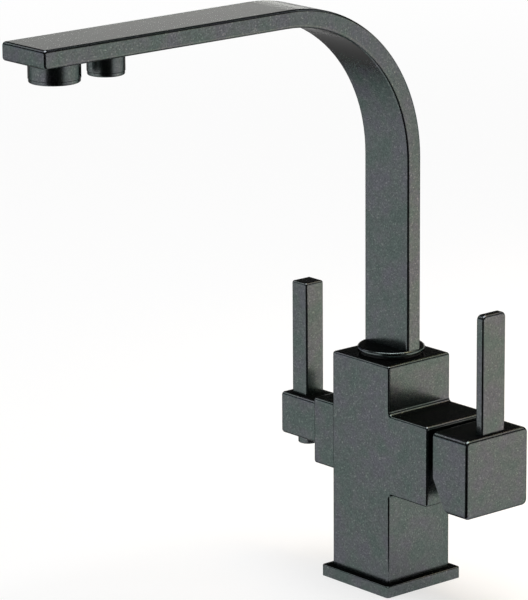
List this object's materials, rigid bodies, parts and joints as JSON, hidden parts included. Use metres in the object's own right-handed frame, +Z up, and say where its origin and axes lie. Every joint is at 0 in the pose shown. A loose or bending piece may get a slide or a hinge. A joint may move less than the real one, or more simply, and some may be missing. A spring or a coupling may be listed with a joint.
{
  "type": "three way filtered water tap",
  "caption": "Tall kitchen tap in textured black: square column, swivelling flat right-angle spout with separate mixed and filtered outlets, side mixer lever and filtered water lever.",
  "frame": {"origin": "centre of the base plate's underside, on the sink deck", "axes": "+Z up; -Y towards the user, the way the spout points at rest; +X to the mixer lever"},
  "size_m": [0.1618, 0.2698, 0.3262],
  "materials": {
    "black_paint": "fine glitter, satin",
    "steel": "plain",
    "brass": "turned",
    "ceramic": "lapped",
    "seal_rubber": "matt",
    "white_plastic": "moulded",
    "black_plastic": "moulded",
    "grey_plastic": "moulded",
    "pipe_plastic": "extruded"
  },
  "bodies": {
    "root": {"body": "black_paint", "base_plate": "black_paint", "base_seal": "seal_rubber", "glide_ring": "black_plastic", "spout_retaining_screw": "steel", "filter_feed_pipe": "brass", "cartridge_base": "grey_plastic", "cartridge_inlet_seals": "seal_rubber", "cartridge_disc_seals": "seal_rubber", "mixer_fixed_disc": "ceramic", "cartridge_housing": "grey_plastic", "cartridge_nut": "brass", "cartridge_cover": "black_paint", "filter_valve_body": "brass", "filter_seat_seal": "seal_rubber", "filter_fixed_disc": "ceramic"},
    "spout": {"spout": "black_paint", "spout_collar": "black_paint", "spout_nipple": "brass", "spout_orings": "seal_rubber", "filter_pipe_socket": "brass", "filter_socket_oring": "seal_rubber", "filter_pipe": "pipe_plastic", "filter_outlet_elbow": "brass", "main_outlet_sleeve": "black_paint", "main_aerator_housing": "black_paint", "main_aerator_insert": "grey_plastic", "main_aerator_washer": "seal_rubber", "filter_outlet_sleeve": "black_paint", "filter_aerator_housing": "black_paint", "filter_aerator_insert": "grey_plastic", "filter_aerator_washer": "seal_rubber"},
    "temperature_carrier": {"temperature_rotor": "white_plastic", "stem_pivot_pin": "steel"},
    "disc_slide": {"mixer_moving_disc": "ceramic", "mixer_slide_plate": "white_plastic"},
    "main_handle": {"cartridge_stem": "steel", "handle_block": "black_paint", "handle_lever": "black_paint", "handle_clamp_screw": "steel"},
    "filter_handle": {"filter_moving_disc": "ceramic", "filter_spindle": "brass", "filter_spindle_orings": "seal_rubber", "filter_spindle_clip": "steel", "filter_handle_block": "black_paint", "filter_lever": "black_paint", "filter_lever_cap_nut": "black_paint", "filter_handle_screw": "steel"}
  },
  "joints": [
    {"name": "spout_swivel", "type": "hinge", "parent": "root", "child": "spout", "pos_m": [0, 0, 0.1272], "axis": [0, 0, 1], "continuous": true},
    {"name": "main_temperature", "type": "hinge", "parent": "root", "child": "temperature_carrier", "pos_m": [0.0411, 0, 0.0783], "axis": [1, 0, 0], "range_deg": [-50, 50]},
    {"name": "main_flow", "type": "hinge", "parent": "temperature_carrier", "child": "main_handle", "pos_m": [0.0411, 0, 0.0783], "axis": [0, 1, 0], "range_deg": [0, 25]},
    {"name": "disc_slide", "type": "slide", "parent": "temperature_carrier", "child": "disc_slide", "axis": [0, 0, 1], "range_m": [0, 0.0034]},
    {"name": "filter_valve_turn", "type": "hinge", "parent": "root", "child": "filter_handle", "pos_m": [-0.0605, 0, 0.0783], "axis": [1, 0, 0], "range_deg": [0, 90]}
  ],
  "couplings": [
    {"joint": "disc_slide", "follows": "main_flow", "m_per_rad": 0.00775}
  ]
}
